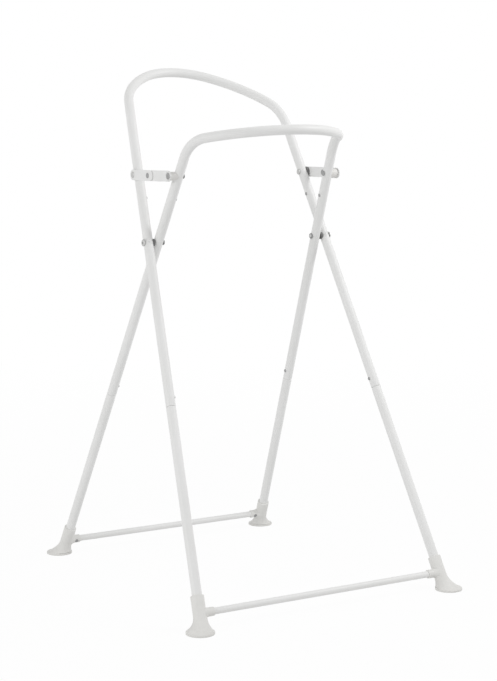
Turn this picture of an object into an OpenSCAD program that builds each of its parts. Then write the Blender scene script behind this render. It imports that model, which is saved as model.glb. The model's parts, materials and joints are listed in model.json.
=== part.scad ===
// Folding stand that holds a baby bath at waist height.
// Two tube frames cross like an X and turn on two pivot bolts. The outer frame ends in the
// high head bow, the inner frame in the low foot bow, and a folding stay on each side holds
// them apart.
// Millimetres. The floor is z = 0, x = 0 is the mid plane and the pivots lie above y = 0.
// The outer frame has its feet at -y and its bow at +y. The inner frame is the other way round.

/* [Tubes] */
// Outside diameter of the frame tubes
tube_d = 18; // [17:0.5:19]
// Wall of the frame tubes
tube_wall = 1.2; // [1:0.1:1.4]
// Outside diameter of the crossbars
bar_d = 12; // [11:0.5:13]
// Wall of the crossbars
bar_wall = 1; // [0.8:0.1:1.2]

/* [Stance] */
// Height of the pivot bolts above the floor
pivot_h = 652; // [634:1:664]
// Lean of each frame from the vertical when the stand is open
lean = 25.7; // [24:0.1:28]
// Angle by which each outer leg splays in the plane of its frame
outer_splay = 5.3; // [4.5:0.1:6]
// Angle by which each inner leg splays in the plane of its frame
inner_splay = 4.8; // [4.5:0.1:6]
// Half the distance between the inner frame's tubes at the pivots
inner_half_w = 174.6; // [165:0.1:185]
// Sideways distance from an inner tube's axis to the outer tube beside it
frame_step = 21.1; // [21.1:0.1:23]

/* [Head bow] */
// Height at which the outer frame starts to bend
head_bend_h = 866; // [854:1:878]
// Bend radius from leg to bow
head_bend_r = 100; // [90:1:110]
// Upward slope of the bow
head_rise = 27.5; // [20:0.5:32]
// Turn inwards of the bow at the end of that bend
head_turn = 21.8; // [15:0.1:25]
// Radius of the bow's shoulders
head_shoulder_r = 240; // [200:1:250]
// Direction at which the shoulders give way to the crown
head_crown_at = 55.2; // [50:0.1:60]

/* [Foot bow] */
// Height at which the inner frame starts to bend
foot_bend_h = 809; // [802:1:818]
// Bend radius from leg to bow
foot_bend_r = 64; // [56:1:72]
// Upward slope of the bow
foot_rise = 9; // [0:0.5:15]
// Turn inwards of the bow at the end of that bend
foot_turn = 23.6; // [15:0.1:28]
// Radius of the bow's shoulders
foot_shoulder_r = 163; // [155:1:175]
// Direction at which the shoulders give way to the crown
foot_crown_at = 65.5; // [55:0.1:68]

/* [Leg joints] */
// Height of the seam between the head bow's tube and its lower leg
outer_seam_h = 366; // [330:1:400]
// Height of the seam between the foot bow's tube and its lower leg
inner_seam_h = 350; // [330:1:400]
// Visible gap at the seam
seam_gap = 0.4; // [0.3:0.1:0.8]
// Length of the lower leg's neck inside the bow tube
neck_len = 45; // [40:1:60]
// Distance from the seam up to the snap button
button_up = 18; // [17:0.5:24]
// Diameter of the snap button
button_d = 6; // [5:0.5:6]
// How far the snap button stands out of the tube
button_out = 2; // [1.5:0.1:2.2]

/* [Feet] */
// Diameter of the round base
foot_d = 51; // [48:1:56]
// Height of the base's rim
foot_rim = 4; // [3.5:0.5:6]
// Outside diameter of the sleeve round the leg
sleeve_d = 24; // [23:0.5:26]
// Height of the sleeve's top above the floor
sleeve_h = 58; // [54:1:68]
// Height of the trumpet between base and sleeve
trumpet_h = 29; // [26:0.5:34]
// Steepness of the trumpet: how fast it widens towards the base
flare = 2.8; // [2:0.1:3.5]
// How far the base is moved sideways, outwards from where the leg's axis meets the floor
base_side = 5.5; // [0:0.5:6]
// How far the base is moved along the stand, outwards from there
base_shift = 3.5; // [0:0.5:7]
// Height of the leg tube's end above the floor
leg_end_h = 15; // [13:0.5:18]
// Height of the crossbars above the floor
bar_h = 30; // [29:0.5:34]
// Outside diameter of the side socket for the crossbar
socket_d = 16; // [15.5:0.5:18]
// Reach of the side socket from the leg's axis
socket_reach = 28; // [26:0.5:34]
// Distance from the leg's axis to the end of the crossbar
bar_inset = 14; // [14:0.5:15]
// Distance from the leg's axis to the crossbar screw
screw_at = 19; // [18.5:0.5:20]

/* [Pivots] */
// Diameter of the pivot bolt
bolt_d = 6; // [5:0.5:7]
// Diameter of the pivot bolt's head
bolt_head_d = 13; // [11:0.5:14]
// Height of the pivot bolt's head
bolt_head_h = 2.4; // [2:0.1:4]
// Width across the flats of the pivot nut
nut_af = 10; // [9:0.5:12]
// Height of the pivot nut
nut_h = 2; // [1.6:0.1:4]
// Diameter of the spacer between the frames
spacer_d = 14; // [12:0.5:16]

/* [Folding stays] */
// Distance up the frames from the pivots to the stays' ends
stay_up = 137.5; // [134:0.5:141]
// Height of a stay link
link_h = 20; // [18:0.5:20]
// Thickness of a stay link
link_t = 2.2; // [1.8:0.1:2.2]
// Diameter of the washer between the outer frame and each stay
washer_d = 20; // [16:0.5:20]
// Diameter of the rivet that a rear link turns on
rear_pin_d = 8; // [6:0.5:8]
// Diameter of the knuckle rivet and of the front link's rivet
link_pin_d = 6; // [5:0.5:6]
// Diameter of the rivets' heads
rivet_head_d = 12; // [11:0.5:13]
// Height of the rivets' heads
rivet_head_h = 1.6; // [1.5:0.1:2.4]
// Height of the stay rivet's head on the inner side of the tube
tail_head_h = 1.2; // [1:0.1:2]
// How far a rear link runs past its knuckle rivet
link_tail = 8; // [0:1:10]
// How far a front link is cranked inwards, towards the tube that it is bolted to
crank = 8.5; // [0:0.5:9]
// Distance from the knuckle to the start of the crank
crank_at = 32; // [30:0.5:34]
// Length of the crank's slope
crank_run = 10; // [8:0.5:12]
// Diameter of the stand-off bush on the inner frame
bush_d = 16; // [13:0.5:16]
// Diameter of the bolt through the stand-off bush
bush_bolt_d = 6; // [5:0.5:6]

/* [Small rivets] */
// Distance up the frames from the pivots to the small rivets inside the tubes
small_rivet_up = 90.5; // [80:0.5:100]
// Diameter of the small rivets' heads
small_rivet_head_d = 6.4; // [5:0.2:7]
// Diameter of the small rivets' shanks
small_rivet_d = 3.2; // [3:0.2:4]

/* [Fits] */
// Radial clearance of what turns or slides
run_gap = 0.06; // [0.04:0.01:0.08]
// Radial clearance of what is fixed
fixed_gap = 0.02; // [0.01:0.01:0.03]
// Clearance of flat faces that turn past each other
face_gap = 0.1; // [0.08:0.01:0.15]
// Clearance where the front link ends beside the bush
open_gap = 0.3; // [0.25:0.05:0.4]

/* [Hidden] */
$fn = 64;

// A frame is named by the side to which its top leans
OUTER = 1;
INNER = -1;
PAINT = "whitesmoke";
PLASTIC = "gainsboro";
STEEL = "dimgray";

tube_r = tube_d / 2;
bore_r = tube_r - tube_wall;
// Angle between each frame's legs and the mid plane
function splay(frame) = frame == OUTER ? outer_splay : inner_splay;
// Half the width of a splayed tube along X, with how far its side creeps outwards below a head
// of a given radius that lies against it
function flank(frame, r) = tube_r / cos(splay(frame)) + r * tan(splay(frame));

// Heights in a frame's own leaning plane are measured from the pivots
function level(height) = (height - pivot_h) / cos(lean);
function half_w(frame) = frame == OUTER ? inner_half_w + frame_step : inner_half_w;
function leg_x(frame, up) = half_w(frame) - up * tan(splay(frame));
function leg_point(frame, up) =
    [leg_x(frame, up), frame * up * sin(lean), pivot_h + up * cos(lean)];

// Moves children onto the right leg's axis, with z up the leg and x outwards
module at_leg(frame, up) {
    translate([0, 0, pivot_h]) rotate([-frame * lean, 0, 0])
        translate([leg_x(frame, up), 0, up]) rotate([0, -splay(frame), 0]) children();
}

// Pieces are drawn for the right side, and mirrored for the left
module on_side(side) {
    if (side == "left") mirror([1, 0, 0]) children();
    else children();
}

module both_sides() {
    for (side = ["left", "right"]) on_side(side) children();
}

// Cylinder or cone along +X from x0 to x1
module x_rod(r, x0, x1) {
    translate([x0, 0, 0]) rotate([0, 90, 0]) cylinder(h = x1 - x0, r = r);
}

module x_cone(r0, r1, x0, x1) {
    translate([x0, 0, 0]) rotate([0, 90, 0]) cylinder(h = x1 - x0, r1 = r0, r2 = r1);
}

module ring(r_out, r_in) {
    difference() {
        circle(r = r_out);
        circle(r = r_in);
    }
}

// ---- Bows: each runs in one tube from seam to seam ----
function unit(v) = v / norm(v);
function leg_dir(frame) =
    let (a = splay(frame)) [-sin(a), frame * cos(a) * sin(lean), cos(a) * cos(lean)];
// Direction in the bow's plane, turned inwards from straight out and up
function heading(frame, rise, turn) =
    [-sin(turn), frame * cos(turn) * cos(rise), cos(turn) * sin(rise)];
// Turn and move that puts x along a, z along c and the origin at p
function placed(p, a, c) =
    let (b = cross(c, a))
    [[a.x, b.x, c.x, p.x], [a.y, b.y, c.y, p.y], [a.z, b.z, c.z, p.z], [0, 0, 0, 1]];

// The stretches of a bow stop a hair short of each other, and collars join them
stretch_gap = 0.01;
collar_len = 1;

// Bent tube that starts at p in direction t and bends towards n
module bent_tube(p, t, n, radius, angle) {
    trim = stretch_gap / radius * 180 / PI;
    multmatrix(placed(p + radius * n, -n, cross(-n, t)))
        rotate([0, 0, trim]) rotate_extrude(angle = angle - 2 * trim)
        translate([radius, 0]) ring(tube_r, bore_r);
}

module collar(p, t, n) {
    multmatrix(placed(p, n, t)) linear_extrude(collar_len, center = true)
        ring(tube_r + stretch_gap, bore_r - stretch_gap);
}

module bow_tube(frame, bend_h, bend_r, rise, turn, shoulder_r, crown_at) {
    start = level(bend_h);
    seam = level(seam_h(frame)) + seam_gap;
    d = leg_dir(frame);
    e = heading(frame, rise, turn);
    bend = acos(d * e);
    n = unit(e - (e * d) * d);
    inward = heading(frame, rise, turn + 90);
    crown_dir = heading(frame, rise, crown_at);
    crown_in = heading(frame, rise, crown_at + 90);
    p0 = leg_point(frame, start);
    p1 = p0 + bend_r * (sin(bend) * d + (1 - cos(bend)) * n);
    p2 = p1 + shoulder_r * (heading(frame, rise, crown_at - 90) - heading(frame, rise, turn - 90));
    crown_r = p2.x / cos(crown_at);
    both_sides() {
        at_leg(frame, seam) linear_extrude((start - seam) / cos(splay(frame)) - stretch_gap)
            ring(tube_r, bore_r);
        collar(p0, d, n);
        bent_tube(p0, d, n, bend_r, bend);
        collar(p1, e, inward);
        bent_tube(p1, e, inward, shoulder_r, crown_at - turn);
        collar(p2, crown_dir, crown_in);
    }
    bent_tube(p2, crown_dir, crown_in, crown_r, 180 - 2 * crown_at);
}

// Holes that both bows have: small rivet and snap button, on the inner side of each tube
module shared_holes(frame) {
    at_leg(frame, small_rivet_up) x_rod(small_rivet_d / 2 + fixed_gap, -tube_d, 0);
    at_leg(frame, button_level(frame)) x_rod(button_d / 2 + run_gap, -tube_d, 0);
}

module head_bow() {
    color(PAINT)
    difference() {
        bow_tube(OUTER, head_bend_h, head_bend_r, head_rise, head_turn, head_shoulder_r,
                 head_crown_at);
        both_sides() {
            shared_holes(OUTER);
            at_pivot() x_rod(bolt_d / 2 + fixed_gap, rod_x0, rod_x1);
            at_stud(OUTER) x_rod(rear_pin_d / 2 + fixed_gap, rod_x0, rod_x1);
        }
    }
}

module foot_bow() {
    color(PAINT)
    difference() {
        bow_tube(INNER, foot_bend_h, foot_bend_r, foot_rise, foot_turn, foot_shoulder_r,
                 foot_crown_at);
        both_sides() {
            shared_holes(INNER);
            at_pivot() x_rod(bolt_d / 2 + run_gap, rod_x0, rod_x1);
            at_stud(INNER) x_rod(bush_bolt_d / 2 + fixed_gap, rod_x0, rod_x1);
        }
    }
}

module bow_rivets(frame) {
    head_r = small_rivet_head_d / 2;
    crown_h = 0.7;
    rim_h = 0.5;
    saddle_depth = 0.8;
    tail_len = 1.5;
    rim_x = -tube_r - rim_h;
    color(STEEL)
    both_sides() at_leg(frame, small_rivet_up) {
        x_cone(head_r - 1, head_r, rim_x - crown_h, rim_x);
        difference() {
            x_rod(head_r, rim_x, saddle_depth - tube_r);
            translate([0, 0, -tube_d]) cylinder(h = 2 * tube_d, r = tube_r + fixed_gap);
        }
        x_rod(small_rivet_d / 2, rim_x - crown_h / 2, tail_len - bore_r);
    }
}

// ---- Lower legs: tubes with a neck that plugs into the bow's tube ----
neck_gap = 0.15;
neck_wall = 1.2;
neck_r = bore_r - neck_gap;
neck_bore_r = neck_r - neck_wall;
shoulder = 1;
taper = 3;
function seam_h(frame) = frame == OUTER ? outer_seam_h : inner_seam_h;
function button_level(frame) = level(seam_h(frame)) + button_up * cos(splay(frame));

module lower_leg(frame, side) {
    foot_end = (level(leg_end_h) - level(seam_h(frame))) / cos(splay(frame));
    color(PAINT)
    on_side(side)
    difference() {
        at_leg(frame, level(seam_h(frame))) rotate_extrude() polygon([
            [bore_r, foot_end],
            [tube_r, foot_end],
            [tube_r, -shoulder],
            [neck_r, 0],
            [neck_r, neck_len],
            [neck_bore_r, neck_len],
            [neck_bore_r, -taper],
            [bore_r, -2 * taper]
        ]);
        at_leg(frame, button_level(frame)) x_rod(button_d / 2 + run_gap, -tube_d, 0);
    }
}

// ---- Snap buttons, each pushed out by a leaf spring bent like a U ----
leaf_t = 0.5;
leaf_w = 5;
leaf_side = 4.3;
leaf_drop = 12;
// Gap between the spring's outer leg and the neck's bore
leaf_gap = 0.65;
flange_t = 0.8;
flange_d = button_d + 2 * flange_t;
dome_h = 1.2;
dome_steps = 5;

module snap_button(frame, side) {
    tip = tube_r + button_out;
    dome_r = (pow(button_d / 2, 2) + pow(dome_h, 2)) / (2 * dome_h);
    dome_a = asin(button_d / 2 / dome_r);
    base = leaf_side + fixed_gap;
    color(STEEL)
    on_side(side) at_leg(frame, button_level(frame)) rotate([0, -90, 0]) rotate_extrude()
        polygon(concat([
            [0, base],
            [flange_d / 2, base],
            [flange_d / 2, base + flange_t],
            [button_d / 2, base + flange_t]
        ], [for (i = [dome_steps : -1 : 0])
            let (a = dome_a * i / dome_steps) [dome_r * sin(a), tip - dome_r * (1 - cos(a))]
        ]));
}

module button_spring(frame, side) {
    far_side = neck_bore_r - leaf_gap;
    bend_r = (leaf_side + far_side) / 2;
    color(STEEL)
    on_side(side) at_leg(frame, button_level(frame))
        translate([(far_side - leaf_side) / 2, 0, -leaf_drop]) rotate([90, 0, 0])
        linear_extrude(leaf_w, center = true) {
            difference() {
                ring(bend_r, bend_r - leaf_t);
                translate([-tube_d, 0]) square(2 * tube_d);
            }
            translate([-bend_r, 0]) square([leaf_t, leaf_drop + flange_d / 2]);
            translate([bend_r - leaf_t, 0]) square([leaf_t, leaf_drop]);
        }
}

// ---- Feet: a round base, a sleeve for the leg and a side socket for the crossbar ----
sleeve_r = sleeve_d / 2;
socket_r = socket_d / 2;
bar_level = level(bar_h);
screw_r = 1.8;
screw_head_r = 3.5;
screw_head_h = 2.2;
screw_slot = 1;
screw_tip = 2;
seat_depth = 1;
screw_seat = socket_r - seat_depth;
rim_edge = 1;
slice_h = 0.2;
// The trumpet starts this far inside the base's upper edge and ends in a step on the sleeve
trumpet_inset = 0.6;
trumpet_step = 0.4;

// Moves children to the crossbar screw's place, with z square to the frame on its under side
module at_screw(frame) {
    translate(leg_point(frame, bar_level) - [screw_at, 0, 0]) rotate([-frame * (90 + lean), 0, 0])
        children();
}

// Centre of a foot's base, or what is left of its offset where the share is under 1
function base_point(frame, height, share = 1) =
    leg_point(frame, level(height)) + [base_side, -frame * base_shift, 0] * share;

// Thin slice of the trumpet: level and as wide as the base where t is 0, and square to the leg
// and as wide as the sleeve where t is 1
module trumpet_slice(frame, t) {
    height = foot_rim + t * (trumpet_h - foot_rim);
    spread = pow(1 - t, flare);
    narrow = sleeve_r + trumpet_step;
    wide = foot_d / 2 - rim_edge - trumpet_inset;
    translate(base_point(frame, height, spread))
        rotate([-frame * lean * t, 0, 0]) rotate([0, -splay(frame) * t, 0])
        cylinder(h = slice_h, r = narrow + (wide - narrow) * spread, $fn = 32);
}

module foot(frame, side) {
    steps = [0, 0.12, 0.28, 0.5, 0.75, 1];
    base_at = base_point(frame, 0);
    top = (level(sleeve_h) - level(0)) / cos(splay(frame));
    bar_end = leg_point(frame, bar_level);
    color(PLASTIC)
    on_side(side)
    difference() {
        union() {
            translate([base_at.x, base_at.y, 0]) {
                cylinder(h = foot_rim - rim_edge, d = foot_d);
                translate([0, 0, foot_rim - rim_edge])
                    cylinder(h = rim_edge + slice_h / 2, d1 = foot_d, d2 = foot_d - 2 * rim_edge);
            }
            for (i = [0 : len(steps) - 2]) hull() {
                trumpet_slice(frame, steps[i]);
                trumpet_slice(frame, steps[i + 1]);
            }
            at_leg(frame, level(0)) rotate_extrude() polygon([
                [0, 0],
                [sleeve_r, 0],
                [sleeve_r, top - rim_edge],
                [sleeve_r - rim_edge, top],
                [0, top]
            ]);
            translate(bar_end) x_rod(socket_r, -socket_reach, 0);
        }
        at_leg(frame, level(leg_end_h)) cylinder(h = 2 * sleeve_h, r = tube_r + fixed_gap);
        translate(bar_end) x_rod(bar_d / 2 + fixed_gap, -2 * socket_reach, seat_depth - bar_inset);
        at_screw(frame) cylinder(h = socket_d, r = screw_r + fixed_gap);
        at_screw(frame) translate([0, 0, screw_seat]) cylinder(h = socket_d, r = screw_head_r + open_gap);
        translate([base_at.x, base_at.y, -sleeve_h]) cube(2 * sleeve_h, center = true);
    }
}

module crossbar(frame) {
    end = leg_point(frame, bar_level);
    half = end.x - bar_inset;
    color(PAINT)
    difference() {
        translate([0, end.y, end.z]) x_rod(bar_d / 2, -half, half);
        translate([0, end.y, end.z]) x_rod(bar_d / 2 - bar_wall, -half - bar_wall, half + bar_wall);
        both_sides() at_screw(frame) cylinder(h = bar_d, r = screw_r + fixed_gap);
    }
}

module foot_screws(frame) {
    crown_r = screw_head_r * 0.8;
    color(STEEL)
    both_sides() at_screw(frame) difference() {
        union() {
            translate([0, 0, screw_tip]) cylinder(h = screw_seat, r = screw_r);
            translate([0, 0, screw_seat + fixed_gap])
                cylinder(h = screw_head_h, r1 = screw_head_r, r2 = crown_r);
        }
        for (turn = [0, 90]) rotate([0, 0, turn])
            translate([0, 0, screw_seat + screw_head_h])
            cube([screw_head_r, screw_slot, 2 * screw_slot], center = true);
    }
}

// ---- Pivots: bolt, spacer and nut, fixed to the outer frame ----
rod_x0 = leg_x(INNER, stay_up) - tube_d;
rod_x1 = half_w(OUTER) + tube_d;
spacer_r = spacer_d / 2;
bolt_head_x = half_w(OUTER) + flank(OUTER, bolt_head_d / 2) + fixed_gap;
// Distance across the corners of a hexagon is its width across the flats times this
hex_corners = 1 / cos(30);
nut_x = inner_half_w - flank(INNER, nut_af / 2 * hex_corners) - face_gap;
// How far a shank reaches into its head, or a bolt's end out of its nut
shank_in = 0.5;
thread_out = 0.3;
// How deep the saddles under spacers and washers reach round a tube
saddle = 2.4;

module at_pivot() {
    translate([0, 0, pivot_h]) children();
}

module pivot_bolt(side) {
    socket_af = 4;
    socket_depth = 1.4;
    head_r = bolt_head_d / 2;
    rim_x = bolt_head_x + bolt_head_h * 0.3;
    cheek_x = bolt_head_x + bolt_head_h * 0.65;
    top_x = bolt_head_x + bolt_head_h;
    color(STEEL)
    on_side(side) at_pivot() difference() {
        union() {
            x_rod(bolt_d / 2, nut_x - nut_h - thread_out, bolt_head_x + shank_in);
            x_rod(head_r, bolt_head_x, rim_x);
            x_cone(head_r, head_r * 0.85, rim_x, cheek_x);
            x_cone(head_r * 0.85, head_r * 0.5, cheek_x, top_x);
        }
        translate([top_x - socket_depth, 0, 0]) rotate([0, 90, 0])
            cylinder(h = 2 * socket_depth, r = socket_af / 2 * hex_corners, $fn = 6);
    }
}

module pivot_spacer(side) {
    face = inner_half_w + flank(INNER, spacer_r) + face_gap;
    color(PLASTIC)
    on_side(side) difference() {
        at_pivot() x_rod(spacer_r, face, half_w(OUTER) - flank(OUTER, 0) + saddle);
        at_pivot() x_rod(bolt_d / 2 + fixed_gap, rod_x0, rod_x1);
        at_leg(OUTER, -tube_d) cylinder(h = 2 * tube_d, r = tube_r + fixed_gap);
    }
}

module pivot_nut(side) {
    collar_r = nut_af * 0.45;
    collar_h = nut_h / 4;
    collar_x = nut_x - nut_h;
    color(STEEL)
    on_side(side) at_pivot() difference() {
        union() {
            translate([collar_x + collar_h, 0, 0]) rotate([0, 90, 0])
                cylinder(h = nut_h - collar_h, r = nut_af / 2 * hex_corners, $fn = 6);
            x_cone(collar_r - collar_h / 3, collar_r, collar_x, collar_x + collar_h);
        }
        x_rod(bolt_d / 2 + fixed_gap, rod_x0, rod_x1);
    }
}

// ---- Folding stays: outside the outer legs, with a knuckle above the pivots ----
stud_y = stay_up * sin(lean);
link_r = link_h / 2;
rear_pin_r = rear_pin_d / 2;
link_pin_r = link_pin_d / 2;
rivet_head_r = rivet_head_d / 2;
washer_t = 0.7;
washer_r = washer_d / 2;
washer_crest = leg_x(OUTER, stay_up) + flank(OUTER, washer_r);
rear_link_x = washer_crest + washer_t;
front_link_x = rear_link_x - link_t - face_gap;
front_stud_x = front_link_x - crank;

// Moves children to the end of a stay, beside that frame's tube, or to the knuckle halfway
module at_stud(frame) {
    translate([0, frame * stud_y, pivot_h + stay_up * cos(lean)]) children();
}

module at_knuckle() {
    translate([0, 0, pivot_h + stay_up * cos(lean)]) children();
}

// Low rivet head along +X, or along -X when flipped: a rim under a cone
module rivet_head(r, h, x0, flip = false) {
    rim_h = 0.4 * h;
    translate([x0, 0, 0]) rotate([0, flip ? -90 : 90, 0]) {
        cylinder(h = rim_h, r = r);
        translate([0, 0, rim_h]) cylinder(h = h - rim_h, r1 = r, r2 = 0.6 * r);
    }
}

// Flat link from the outer frame's stud to the knuckle, with a tail past it
module rear_link(side) {
    color(PAINT)
    on_side(side) difference() {
        union() {
            at_stud(OUTER) x_rod(link_r, rear_link_x, rear_link_x + link_t);
            at_knuckle() translate([0, -link_tail, 0]) x_rod(link_r, rear_link_x, rear_link_x + link_t);
            at_knuckle() translate([rear_link_x, -link_tail, -link_r])
                cube([link_t, stud_y + link_tail, link_h]);
        }
        at_knuckle() x_rod(link_pin_r + fixed_gap, rod_x0, rod_x1);
        at_stud(OUTER) x_rod(rear_pin_r + run_gap, rod_x0, rod_x1);
    }
}

// Cranked link from the knuckle to the inner frame's stud, a strip of even thickness
module front_link(side) {
    slope = atan(crank / crank_run);
    mitre = link_t / 2 * tan(slope / 2);
    crank_end = crank_at + crank_run;
    color(PAINT)
    on_side(side) difference() {
        union() {
            at_knuckle() x_rod(link_r, front_link_x, front_link_x + link_t);
            at_stud(INNER) x_rod(link_r, front_stud_x, front_stud_x + link_t);
            at_knuckle() translate([0, 0, -link_r]) linear_extrude(link_h) polygon([
                [front_link_x, 0],
                [front_link_x, mitre - crank_at],
                [front_stud_x, mitre - crank_end],
                [front_stud_x, -stud_y],
                [front_stud_x + link_t, -stud_y],
                [front_stud_x + link_t, -mitre - crank_end],
                [front_link_x + link_t, -mitre - crank_at],
                [front_link_x + link_t, 0]
            ]);
        }
        at_knuckle() x_rod(link_pin_r + run_gap, rod_x0, rod_x1);
        at_stud(INNER) x_rod(link_pin_r + fixed_gap, rod_x0, rod_x1);
    }
}

module stay_washer(side) {
    color(STEEL)
    on_side(side) difference() {
        at_stud(OUTER) x_rod(washer_r, washer_crest - 2 * saddle, rear_link_x - face_gap);
        at_stud(OUTER) x_rod(rear_pin_r + fixed_gap, rod_x0, rod_x1);
        at_leg(OUTER, stay_up - tube_d) cylinder(h = 2 * tube_d, r = tube_r + fixed_gap);
    }
}

module stay_rivet(side) {
    tail_r = rivet_head_r - shank_in;
    tail_x = leg_x(OUTER, stay_up) - flank(OUTER, tail_r) - fixed_gap;
    head_x = rear_link_x + link_t + face_gap;
    color(STEEL)
    on_side(side) at_stud(OUTER) {
        x_rod(rear_pin_r, tail_x - shank_in, head_x + shank_in);
        rivet_head(rivet_head_r, rivet_head_h, head_x);
        rivet_head(tail_r, tail_head_h, tail_x, true);
    }
}

module knuckle_rivet(side) {
    head_r = rivet_head_r - 2 * shank_in;
    head_x = rear_link_x + link_t + fixed_gap;
    tail_x = front_link_x - face_gap;
    color(STEEL)
    on_side(side) at_knuckle() {
        x_rod(link_pin_r, tail_x - shank_in, head_x + shank_in);
        rivet_head(head_r, rivet_head_h, head_x);
        rivet_head(head_r, rivet_head_h, tail_x, true);
    }
}

module front_rivet(side) {
    head_x = front_stud_x + link_t + fixed_gap;
    color(STEEL)
    on_side(side) at_stud(INNER) {
        x_rod(link_pin_r, front_stud_x, head_x + shank_in);
        rivet_head(rivet_head_r, rivet_head_h * 0.9, head_x);
    }
}

module stay_bush(side) {
    color(PLASTIC)
    on_side(side) difference() {
        at_stud(INNER) x_rod(bush_d / 2, leg_x(INNER, stay_up), front_stud_x - open_gap);
        at_stud(INNER) x_rod(bush_bolt_d / 2 + fixed_gap, rod_x0, rod_x1);
        at_leg(INNER, stay_up - tube_d) cylinder(h = 2 * tube_d, r = tube_r + fixed_gap);
    }
}

module stay_bolt(side) {
    head_r = 5;
    head_x = leg_x(INNER, stay_up) - flank(INNER, head_r) - fixed_gap;
    color(STEEL)
    on_side(side) at_stud(INNER) {
        x_rod(bush_bolt_d / 2, head_x - shank_in, front_stud_x - open_gap);
        rivet_head(head_r, rivet_head_h, head_x, true);
    }
}

head_bow();
lower_leg(OUTER, "left");  // outer_leg_left
lower_leg(OUTER, "right");  // outer_leg_right
foot(OUTER, "left");  // outer_foot_left
foot(OUTER, "right");  // outer_foot_right
crossbar(OUTER);  // outer_crossbar
foot_screws(OUTER);  // outer_foot_screws
button_spring(OUTER, "left");  // outer_spring_left
button_spring(OUTER, "right");  // outer_spring_right
snap_button(OUTER, "left");  // outer_button_left
snap_button(OUTER, "right");  // outer_button_right
bow_rivets(OUTER);  // head_bow_rivets
foot_bow();
lower_leg(INNER, "left");  // inner_leg_left
lower_leg(INNER, "right");  // inner_leg_right
foot(INNER, "left");  // inner_foot_left
foot(INNER, "right");  // inner_foot_right
crossbar(INNER);  // inner_crossbar
foot_screws(INNER);  // inner_foot_screws
button_spring(INNER, "left");  // inner_spring_left
button_spring(INNER, "right");  // inner_spring_right
snap_button(INNER, "left");  // inner_button_left
snap_button(INNER, "right");  // inner_button_right
bow_rivets(INNER);  // foot_bow_rivets
pivot_bolt("left");  // pivot_bolt_left
pivot_bolt("right");  // pivot_bolt_right
pivot_spacer("left");  // pivot_spacer_left
pivot_spacer("right");  // pivot_spacer_right
pivot_nut("left");  // pivot_nut_left
pivot_nut("right");  // pivot_nut_right
stay_washer("left");  // stay_washer_left
stay_washer("right");  // stay_washer_right
stay_rivet("left");  // stay_rivet_left
stay_rivet("right");  // stay_rivet_right
rear_link("left");  // rear_link_left
rear_link("right");  // rear_link_right
knuckle_rivet("left");  // knuckle_rivet_left
knuckle_rivet("right");  // knuckle_rivet_right
front_link("left");  // front_link_left
front_link("right");  // front_link_right
front_rivet("left");  // front_rivet_left
front_rivet("right");  // front_rivet_right
stay_bush("left");  // stay_bush_left
stay_bush("right");  // stay_bush_right
stay_bolt("left");  // stay_bolt_left
stay_bolt("right");  // stay_bolt_right
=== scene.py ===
import json
import math
import bmesh
import bpy
import numpy as np
from mathutils import Matrix


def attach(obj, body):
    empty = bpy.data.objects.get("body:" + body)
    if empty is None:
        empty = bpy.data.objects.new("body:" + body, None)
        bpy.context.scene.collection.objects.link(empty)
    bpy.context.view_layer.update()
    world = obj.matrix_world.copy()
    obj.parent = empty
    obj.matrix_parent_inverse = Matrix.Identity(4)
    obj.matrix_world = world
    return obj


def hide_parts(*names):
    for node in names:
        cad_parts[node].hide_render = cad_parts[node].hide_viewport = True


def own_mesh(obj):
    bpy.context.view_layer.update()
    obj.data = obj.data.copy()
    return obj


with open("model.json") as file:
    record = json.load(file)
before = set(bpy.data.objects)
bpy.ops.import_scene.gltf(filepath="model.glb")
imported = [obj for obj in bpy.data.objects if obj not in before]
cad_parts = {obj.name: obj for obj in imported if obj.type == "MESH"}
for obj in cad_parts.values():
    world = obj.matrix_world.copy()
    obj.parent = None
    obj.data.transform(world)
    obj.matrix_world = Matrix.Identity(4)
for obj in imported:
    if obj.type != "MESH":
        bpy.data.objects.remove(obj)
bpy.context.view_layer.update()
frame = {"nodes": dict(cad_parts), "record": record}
print("frame loaded:", len(frame["nodes"]), "nodes")

mm = 0.001
sides = {"right": 1.0, "left": -1.0}
bodyOf = {node: body for body, nodes in frame["record"]["behaviour"]["bodies"].items()
          for node in nodes}
slotOf = {part["node"]: part["material_slot"] for part in frame["record"]["subparts"]}

# The stand's own measures, in millimetres and degrees, as in the construction
stand = {
    "pivotHeight": 652.0,      # of the pivot bolts above the floor
    "lean": 25.7,              # of each frame from the vertical
    "innerHalfWidth": 174.6,   # at the pivots, to the tube's axis
    "outerHalfWidth": 195.7,
    "tubeRadius": 9.0,
    "tubeBore": 7.8,
    "fixedGap": 0.02,          # radial clearance of what is fixed
    "runGap": 0.06,            # of what turns or slides
    "faceGap": 0.1,            # of flat faces that turn past each other
}
# Each frame leans along Y at its top, the way that its sign says
outerFrame = {"word": "outer", "way": 1.0, "splay": 5.3, "halfWidth": stand["outerHalfWidth"],
              "seamHeight": 366.0}
innerFrame = {"word": "inner", "way": -1.0, "splay": 4.8, "halfWidth": stand["innerHalfWidth"],
              "seamHeight": 350.0}
leanSin, leanCos = math.sin(math.radians(stand["lean"])), math.cos(math.radians(stand["lean"]))
tubeRadius, tubeBore = stand["tubeRadius"], stand["tubeBore"]
fixedGap, runGap, faceGap = stand["fixedGap"], stand["runGap"], stand["faceGap"]
alongX = np.array([[0.0, 0, 1], [1, 0, 0], [0, 1, 0]])   # turns a profile's z into +X
towardsInside = np.diag([1.0, 1, -1])                    # flips z before that, for -X

around = {"tube": 56, "plain": 48, "small": 40, "foot": 64, "nut": 96}    # points of a circle
sharp = {"round": 40, "foot": 38, "cut": 35, "screw": 30, "nut": 28}      # degrees of a sharp edge
# Metres within which corners are one: in a new surface, in a face with no area, and after a cut
weld = {"new": 2e-7, "sliver": 1e-8, "cut": 1e-6}


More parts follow.
